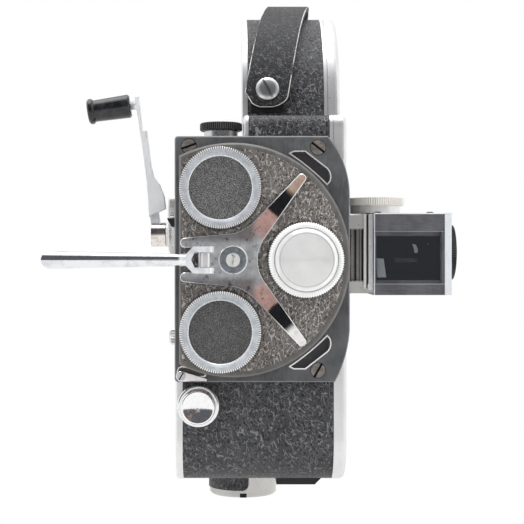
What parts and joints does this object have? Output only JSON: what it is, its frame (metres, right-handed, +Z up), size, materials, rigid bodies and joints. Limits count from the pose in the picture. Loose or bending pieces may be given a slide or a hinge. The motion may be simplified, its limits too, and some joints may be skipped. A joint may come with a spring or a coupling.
{
  "type": "movie camera",
  "caption": "Spring-wound movie camera with a round arch, a lens turret with capped ports, a folding lever, a winding crank, an optical finder and a strap.",
  "frame": {"origin": "mouth of the tripod socket, at the centre of the base boss's bottom face", "axes": "+Z up, -Y the way the lenses look, +X towards the film door and the finder"},
  "size_m": [0.1688, 0.1607, 0.2252],
  "materials": {
    "casting_aluminium": "satin",
    "black_leather": "grained",
    "boss_metal": "satin",
    "dark_paint": "satin",
    "plate_paint": "satin",
    "chrome": "polished",
    "screw_steel": "worn",
    "turret_metal": "satin",
    "turret_grain": "grained",
    "cap_aluminium": "satin",
    "crackle_black": "crackle",
    "spring_steel": "plain",
    "glass": "clear",
    "black_metal": "satin",
    "grip_black": "gloss",
    "brass": "satin",
    "dial_white": "matte",
    "finder_paint": "satin",
    "strap_leather": "grained",
    "plate_steel": "satin"
  },
  "bodies": {
    "camera_body": {"film_chamber": "casting_aluminium", "mechanism_cover": "casting_aluminium", "body_leather": "black_leather", "base_boss": "boss_metal", "foot_bar": "dark_paint", "front_plate": "plate_paint", "crescent_trims": "chrome", "front_screws": "screw_steel", "turret_pivot": "chrome", "release_collar": "chrome", "magnifier_neck": "chrome", "magnifier_lens": "glass", "crank_bearing": "chrome", "counter_glass": "glass", "mechanism_plate": "plate_steel", "gate_plate": "plate_steel", "spool_spindles": "plate_steel", "handle_strap": "strap_leather", "strap_screws": "chrome", "strap_lugs": "dark_paint"},
    "turret": {"turret_disc": "turret_metal", "turret_covering": "turret_grain", "turret_spider": "chrome", "lever_pin": "chrome"},
    "turret_lever_body": {"turret_lever": "chrome"},
    "upper_cap": {"cap_ring_upper": "cap_aluminium", "cap_disc_upper": "crackle_black"},
    "lower_cap": {"cap_ring_lower": "cap_aluminium", "cap_disc_lower": "crackle_black"},
    "taking_port_cap": {"front_cap": "cap_aluminium"},
    "lock_lever_body": {"lock_lever": "chrome"},
    "release_button_body": {"release_button": "chrome", "release_spring": "spring_steel"},
    "magnifier_ring_body": {"magnifier_ring": "black_metal"},
    "crank_hub_body": {"crank_hub": "chrome"},
    "crank_arm_body": {"crank_arm": "chrome"},
    "crank_grip_body": {"crank_grip": "grip_black"},
    "speed_dial_body": {"speed_dial": "cap_aluminium"},
    "side_knob_body": {"side_knob": "cap_aluminium"},
    "side_lever_body": {"side_lever": "chrome"},
    "counter_body": {"counter_disc": "dial_white"},
    "barrel": {"mainspring_barrel": "brass", "mainspring": "spring_steel"},
    "wheel": {"intermediate_wheel": "brass"},
    "governor_body": {"governor": "brass"},
    "shutter_body": {"shutter": "black_metal"},
    "presser": {"pressure_plate": "plate_steel"},
    "upper_sprocket": {"sprocket_upper": "plate_steel"},
    "lower_sprocket": {"sprocket_lower": "plate_steel"},
    "upper_spool": {"feed_spool": "black_metal"},
    "lower_spool": {"takeup_spool": "black_metal"},
    "door": {"film_door": "casting_aluminium", "door_leather": "black_leather", "finder_bracket": "chrome", "finder_body": "finder_paint", "finder_glass": "glass", "finder_trims": "chrome"},
    "door_lock_body": {"door_lock": "chrome"},
    "finder_knob_body": {"finder_knob": "cap_aluminium"},
    "finder_dial_body": {"finder_dial": "cap_aluminium"}
  },
  "joints": [
    {"name": "turret_turn", "type": "hinge", "parent": "camera_body", "child": "turret", "pos_m": [-0.0045, -0.0762, 0.1055], "axis": [0, 1, 0], "continuous": true},
    {"name": "turret_lever_fold", "type": "hinge", "parent": "turret", "child": "turret_lever_body", "pos_m": [-0.0154, -0.0801, 0.1055], "axis": [0, 0, 1], "range_deg": [0, 90]},
    {"name": "upper_cap_off", "type": "slide", "parent": "turret", "child": "upper_cap", "axis": [0, -1, 0], "range_m": [0, 0.03]},
    {"name": "lower_cap_off", "type": "slide", "parent": "turret", "child": "lower_cap", "axis": [0, -1, 0], "range_m": [0, 0.03]},
    {"name": "taking_port_cap_off", "type": "slide", "parent": "turret", "child": "taking_port_cap", "axis": [0, -1, 0], "range_m": [0, 0.03]},
    {"name": "lock_lever_turn", "type": "hinge", "parent": "camera_body", "child": "lock_lever_body", "pos_m": [-0.0253, -0.068, 0.0589], "axis": [0, 1, 0], "range_deg": [0, 15]},
    {"name": "release_press", "type": "slide", "parent": "camera_body", "child": "release_button_body", "axis": [0, 1, 0], "range_m": [0, 0.003], "stiffness_N_per_m": 300, "springref_m": -0.001, "deforming": ["release_spring"]},
    {"name": "magnifier_focus", "type": "hinge", "parent": "camera_body", "child": "magnifier_ring_body", "pos_m": [-0.00951, -0.0495, 0.1555], "axis": [0, 0, 1], "range_deg": [-60, 60]},
    {"name": "crank_turn", "type": "hinge", "parent": "camera_body", "child": "crank_hub_body", "pos_m": [-0.04027, 0.022, 0.1175], "axis": [1, 0, 0], "continuous": true},
    {"name": "crank_fold", "type": "hinge", "parent": "crank_hub_body", "child": "crank_arm_body", "pos_m": [-0.04027, 0.022, 0.1175], "axis": [0, -1, 0], "range_deg": [0, 80]},
    {"name": "crank_grip_spin", "type": "hinge", "parent": "crank_arm_body", "child": "crank_grip_body", "pos_m": [-0.04912, 0.022, 0.17887], "axis": [-0.9898, 0, -0.1426], "continuous": true},
    {"name": "speed_dial_turn", "type": "hinge", "parent": "camera_body", "child": "speed_dial_body", "pos_m": [-0.028, -0.035, 0.1205], "axis": [1, 0, 0], "range_deg": [-150, 150]},
    {"name": "side_knob_turn", "type": "hinge", "parent": "camera_body", "child": "side_knob_body", "pos_m": [-0.028, -0.04, 0.0729], "axis": [1, 0, 0], "range_deg": [-170, 170]},
    {"name": "side_lever_swing", "type": "hinge", "parent": "camera_body", "child": "side_lever_body", "pos_m": [-0.028, -0.016, 0.0715], "axis": [1, 0, 0], "range_deg": [-35, 35]},
    {"name": "counter_turn", "type": "hinge", "parent": "camera_body", "child": "counter_body", "pos_m": [-0.028, -0.002, 0.0435], "axis": [1, 0, 0], "continuous": true},
    {"name": "barrel_turn", "type": "hinge", "parent": "camera_body", "child": "barrel", "pos_m": [0.0025, 0.022, 0.1175], "axis": [1, 0, 0], "continuous": true},
    {"name": "wheel_turn", "type": "hinge", "parent": "camera_body", "child": "wheel", "pos_m": [-0.0135, -0.00843, 0.10233], "axis": [1, 0, 0], "continuous": true},
    {"name": "governor_turn", "type": "hinge", "parent": "camera_body", "child": "governor_body", "pos_m": [-0.0135, -0.03528, 0.08894], "axis": [1, 0, 0], "continuous": true},
    {"name": "shutter_turn", "type": "hinge", "parent": "camera_body", "child": "shutter_body", "pos_m": [0.003, -0.0556, 0.1055], "axis": [0, 1, 0], "continuous": true},
    {"name": "pressure_plate_slide", "type": "slide", "parent": "camera_body", "child": "presser", "axis": [0, 1, 0], "range_m": [0, 0.0012], "stiffness_N_per_m": 200, "springref_m": -0.001},
    {"name": "upper_sprocket_turn", "type": "hinge", "parent": "camera_body", "child": "upper_sprocket", "pos_m": [0.02435, -0.032, 0.131], "axis": [1, 0, 0], "continuous": true},
    {"name": "lower_sprocket_turn", "type": "hinge", "parent": "camera_body", "child": "lower_sprocket", "pos_m": [0.02435, -0.032, 0.084], "axis": [1, 0, 0], "continuous": true},
    {"name": "feed_spool_turn", "type": "hinge", "parent": "camera_body", "child": "upper_spool", "pos_m": [0.02435, 0.022, 0.1683], "axis": [1, 0, 0], "continuous": true},
    {"name": "takeup_spool_turn", "type": "hinge", "parent": "camera_body", "child": "lower_spool", "pos_m": [0.02435, 0.022, 0.0635], "axis": [1, 0, 0], "continuous": true},
    {"name": "door_lift", "type": "slide", "parent": "camera_body", "child": "door", "axis": [1, 0, 0], "range_m": [0, 0.06]},
    {"name": "door_lock_turn", "type": "hinge", "parent": "door", "child": "door_lock_body", "pos_m": [0.042, 0.036, 0.0875], "axis": [1, 0, 0], "range_deg": [0, 90]},
    {"name": "finder_knob_turn", "type": "hinge", "parent": "door", "child": "finder_knob_body", "pos_m": [0.0864, -0.036, 0.1088], "axis": [1, 0, 0], "range_deg": [-60, 60]},
    {"name": "finder_dial_turn", "type": "hinge", "parent": "door", "child": "finder_dial_body", "pos_m": [0.0561, -0.036, 0.1251], "axis": [0, 0, 1], "range_deg": [-140, 140]}
  ],
  "couplings": [
    {"joint": "wheel_turn", "follows": "barrel_turn", "ratio": -4.6667},
    {"joint": "governor_turn", "follows": "barrel_turn", "ratio": 18.667},
    {"joint": "shutter_turn", "follows": "barrel_turn", "ratio": 4},
    {"joint": "upper_sprocket_turn", "follows": "barrel_turn", "ratio": 2},
    {"joint": "lower_sprocket_turn", "follows": "barrel_turn", "ratio": -2},
    {"joint": "feed_spool_turn", "follows": "barrel_turn", "ratio": -0.5},
    {"joint": "takeup_spool_turn", "follows": "barrel_turn", "ratio": 0.5},
    {"joint": "counter_turn", "follows": "barrel_turn", "ratio": 0.1}
  ]
}
